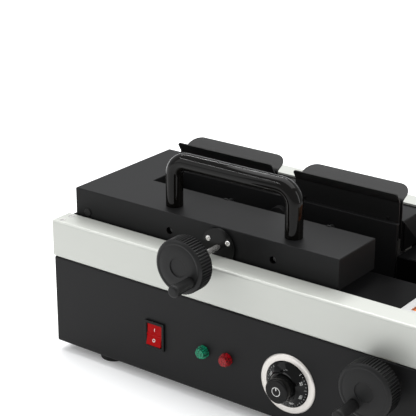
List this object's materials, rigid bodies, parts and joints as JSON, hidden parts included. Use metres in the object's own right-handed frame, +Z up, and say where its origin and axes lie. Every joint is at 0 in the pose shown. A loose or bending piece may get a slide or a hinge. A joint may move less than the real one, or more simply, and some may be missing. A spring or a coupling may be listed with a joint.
{
  "type": "waffle cone maker",
  "caption": "Countertop press that bakes thin batter sheets upright in slots between hot platens, with cranks for pressing and lifting and a bay for rolling cones.",
  "frame": {"origin": "on the floor under the middle of the whole machine, its crank grips and cable gland included", "axes": "+Z up, +X to the machine's right along its length, controls and cranks face -Y"},
  "size_m": [0.511, 0.383, 0.2445],
  "materials": {
    "powder_black": "fine-textured matte powder coat",
    "rail_metal": "satin anodised, fine grain along the length",
    "gloss_black": "gloss black moulding",
    "wheel_plastic": "matte moulded phenolic",
    "bright_steel": "bright zinc-plated steel",
    "tray_steel": "brushed stainless sheet",
    "platen_aluminium": "cast aluminium, non-stick grey",
    "heater_mica": "mica-faced strip heater",
    "board": "calcium silicate insulation board",
    "bush_brass": "turned bearing brass",
    "foot_rubber": "moulded rubber",
    "red_plastic": "translucent red moulding",
    "green_plastic": "translucent green moulding",
    "terminal_plastic": "ivory terminal moulding",
    "orange_silicone": "orange heat-proof silicone",
    "beech": "oiled beech"
  },
  "bodies": {
    "base": {"base_shell": "powder_black", "bottom_plate": "powder_black", "bow_handle": "gloss_black", "cable_gland": "wheel_plastic", "channel_trough": "powder_black", "crank_flange": "gloss_black", "dial_bezel": "bright_steel", "end_gusset": "powder_black", "flange_screws": "bright_steel", "foot_screws": "bright_steel", "forming_cradle": "orange_silicone", "forming_tray": "tray_steel", "front_deck": "powder_black", "front_rail": "rail_metal", "green_lamp": "green_plastic", "guide_bushes": "bush_brass", "handle_screws": "bright_steel", "head_cover": "powder_black", "hole_plug": "wheel_plastic", "left_chute_rear": "powder_black", "left_end_plate": "powder_black", "lift_bearing": "bush_brass", "lift_bracket": "powder_black", "lift_posts": "bright_steel", "rail_screws": "bright_steel", "rear_deck": "powder_black", "rear_heater": "heater_mica", "rear_insulation": "board", "rear_platen": "platen_aluminium", "rear_rail": "rail_metal", "red_lamp": "red_plastic", "right_chute_rear": "powder_black", "right_end_plate": "powder_black", "rubber_feet": "foot_rubber", "switch_body": "gloss_black", "terminal_block": "terminal_plastic", "thermostat_body": "wheel_plastic"},
    "press": {"press_plate": "powder_black", "front_platen": "platen_aluminium", "front_heater": "heater_mica", "guide_rods": "bright_steel", "left_chute_front": "powder_black", "right_chute_front": "powder_black", "chute_screws": "bright_steel"},
    "press_crank": {"lead_screw": "bright_steel", "press_handwheel": "wheel_plastic", "press_grip_pin": "bright_steel"},
    "press_grip": {"press_grip": "wheel_plastic"},
    "lift": {"lift_blade": "bright_steel", "lift_rack": "bright_steel"},
    "lift_crank": {"lift_shaft": "bright_steel", "lift_pinion": "bush_brass", "lift_handwheel": "wheel_plastic", "lift_grip_pin": "bright_steel"},
    "lift_grip": {"lift_grip": "wheel_plastic"},
    "rocker": {"power_rocker": "red_plastic"},
    "dial": {"dial_skirt": "gloss_black", "dial_knob": "gloss_black"},
    "tray": {"catch_tray": "tray_steel"},
    "mandrel": {"cone_mandrel": "beech"}
  },
  "joints": [
    {"name": "press_slide", "type": "slide", "parent": "base", "child": "press", "axis": [0, 1, 0], "range_m": [-0.034, 0]},
    {"name": "press_crank_turn", "type": "hinge", "parent": "press", "child": "press_crank", "pos_m": [-0.0547, -0.145, 0.1632], "axis": [0, 1, 0], "range_deg": [-3061, 0]},
    {"name": "press_grip_spin", "type": "hinge", "parent": "press_crank", "child": "press_grip", "pos_m": [-0.0397, -0.178, 0.1514], "axis": [0, 1, 0], "continuous": true},
    {"name": "lift_slide", "type": "slide", "parent": "base", "child": "lift", "axis": [0, 0, 1], "range_m": [0, 0.045]},
    {"name": "lift_crank_turn", "type": "hinge", "parent": "base", "child": "lift_crank", "pos_m": [0.153, -0.14, 0.0916], "axis": [0, 1, 0], "range_deg": [0, 161.5]},
    {"name": "lift_grip_spin", "type": "hinge", "parent": "lift_crank", "child": "lift_grip", "pos_m": [0.1425, -0.17, 0.0758], "axis": [0, 1, 0], "continuous": true},
    {"name": "power_rocker_tilt", "type": "hinge", "parent": "base", "child": "rocker", "pos_m": [-0.1155, -0.1247, 0.058], "axis": [1, 0, 0], "range_deg": [0, 14]},
    {"name": "dial_turn", "type": "hinge", "parent": "base", "child": "dial", "pos_m": [0.0505, -0.1247, 0.0544], "axis": [0, -1, 0], "range_deg": [-270, 0]},
    {"name": "catch_tray_slide", "type": "slide", "parent": "base", "child": "tray", "axis": [-1, 0, 0], "range_m": [0, 0.28]},
    {"name": "mandrel_lift_out", "type": "slide", "parent": "base", "child": "mandrel", "axis": [0, 0, 1], "range_m": [0, 0.08]}
  ],
  "couplings": [
    {"joint": "press_crank_turn", "follows": "press_slide", "rad_per_m": 1570.8},
    {"joint": "lift_crank_turn", "follows": "lift_slide", "rad_per_m": 62.5}
  ]
}
